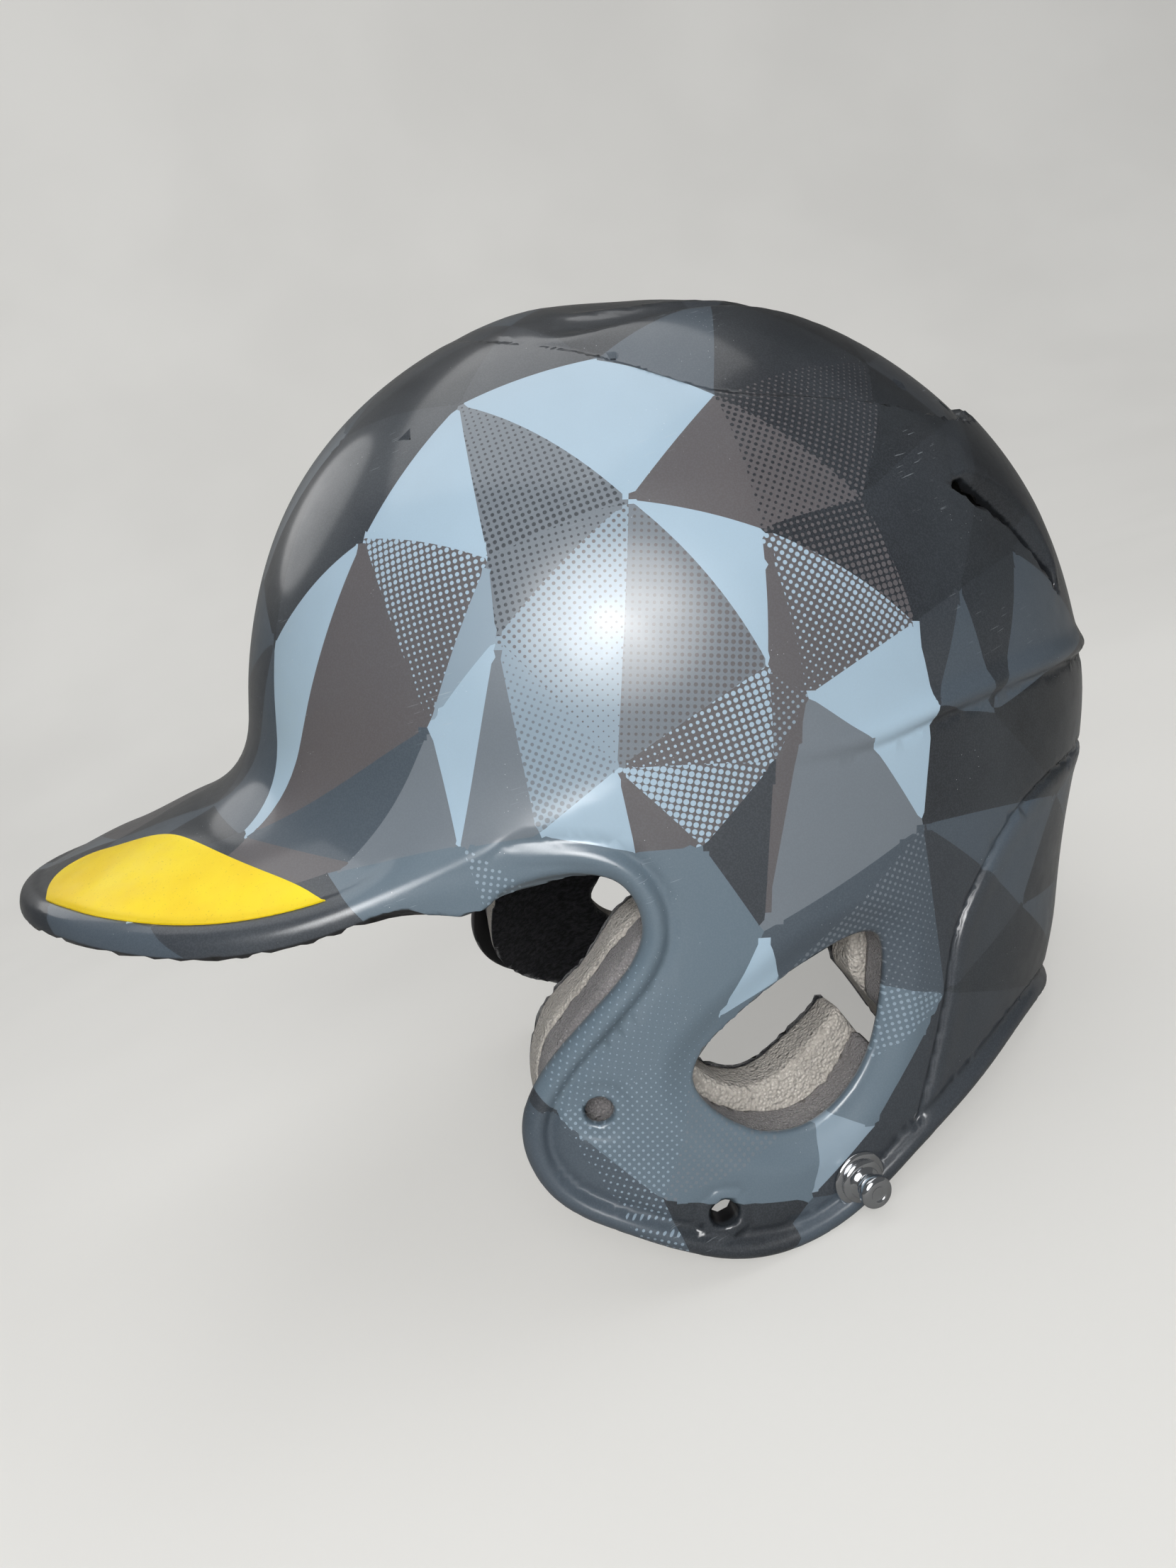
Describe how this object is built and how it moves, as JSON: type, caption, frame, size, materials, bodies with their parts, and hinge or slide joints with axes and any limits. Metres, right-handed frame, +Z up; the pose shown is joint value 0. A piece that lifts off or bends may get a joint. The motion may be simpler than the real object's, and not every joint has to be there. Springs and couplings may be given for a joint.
{
  "type": "baseball batting helmet",
  "caption": "Youth batting helmet with two ear flaps, an arched bill, foam liner pads, ear openings, face guard holes and chrome strap studs.",
  "frame": {"origin": "centre of the outline on the floor that the helmet stands on", "axes": "+Z up; the bill points towards -Y; the wearer's left side is +X"},
  "size_m": [0.195, 0.288, 0.2235],
  "materials": {
    "printed_shell": "gloss clear coat over a printed mosaic of grey and blue-grey facets with halftone dots",
    "yellow_vinyl": "satin vinyl",
    "grey_foam": "speckled open-cell foam",
    "dark_foam": "fine closed-cell foam",
    "black_felt": "brushed felt",
    "chrome": "polished plating",
    "zinc_steel": "dull zinc plating"
  },
  "bodies": {
    "root": {"crown_pad": "grey_foam", "front_pad": "grey_foam", "front_pad_cover": "black_felt", "left_back_pad": "grey_foam", "left_ear_base_foam": "dark_foam", "left_ear_comfort_foam": "grey_foam", "left_ear_cover": "black_felt", "left_side_pad": "grey_foam", "outer_shell": "printed_shell", "rear_pad": "grey_foam", "rear_pad_cover": "black_felt", "right_back_pad": "grey_foam", "right_ear_base_foam": "dark_foam", "right_ear_comfort_foam": "grey_foam", "right_ear_cover": "black_felt", "right_side_pad": "grey_foam", "size_sticker": "yellow_vinyl", "snap_back_nuts": "zinc_steel", "snap_studs": "chrome", "snap_washers": "chrome"}
  },
  "joints": []
}
